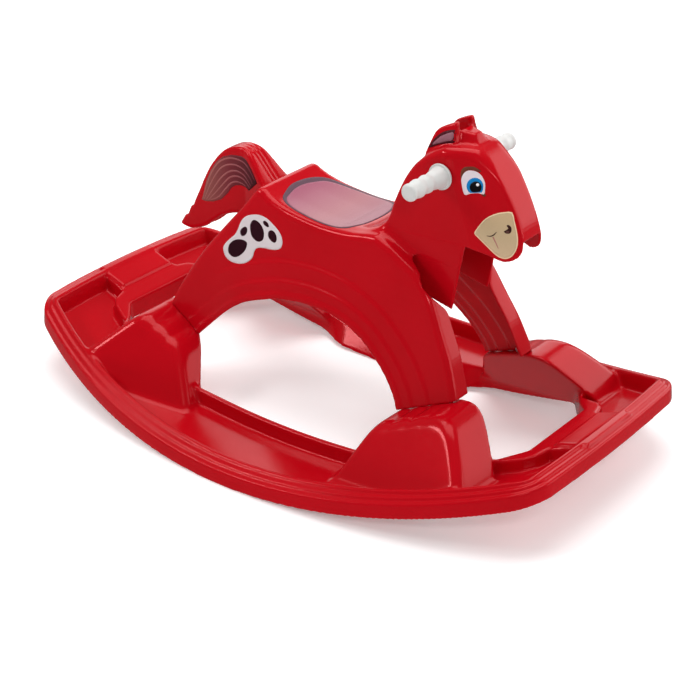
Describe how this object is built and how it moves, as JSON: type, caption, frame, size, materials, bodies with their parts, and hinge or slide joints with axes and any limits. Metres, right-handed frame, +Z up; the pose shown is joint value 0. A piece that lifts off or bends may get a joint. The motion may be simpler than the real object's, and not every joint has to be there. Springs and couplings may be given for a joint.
{
  "type": "rocking horse",
  "caption": "Child's moulded plastic rocking horse: hollow horse body on a boat-shaped rocker base with footwells, side hand grips and printed trim.",
  "frame": {"origin": "on the floor under the middle of the horse: centre of the bounding box in X and Y, lowest point of the rocking edge in Z", "axes": "+X the way the horse faces, +Y the horse's left, +Z up; the horse is symmetric about the plane Y = 0"},
  "size_m": [0.8918, 0.566, 0.4795],
  "materials": {
    "red_plastic": "glossy moulded red",
    "white_plastic": "satin white",
    "steel": "zinc plated",
    "saddle_print": "printed vinyl, mauve saddle",
    "spots_print": "printed vinyl, white with plum spots",
    "eye_print": "printed vinyl, blue eye",
    "muzzle_print": "printed vinyl, beige muzzle",
    "ear_print": "printed vinyl, brown and mauve",
    "tail_print": "printed vinyl, brown hair with pale lines"
  },
  "bodies": {
    "root": {"rocker_base": "red_plastic", "horse_body": "red_plastic", "handle_rod": "steel", "hand_grip_left": "white_plastic", "hand_grip_right": "white_plastic", "foot_screws": "steel", "saddle_sticker": "saddle_print", "rump_spots_sticker_left": "spots_print", "rump_spots_sticker_right": "spots_print", "eye_sticker_left": "eye_print", "eye_sticker_right": "eye_print", "muzzle_sticker_left": "muzzle_print", "muzzle_sticker_right": "muzzle_print", "ear_sticker_left": "ear_print", "ear_sticker_right": "ear_print", "tail_sticker_left": "tail_print", "tail_sticker_right": "tail_print"}
  },
  "joints": []
}
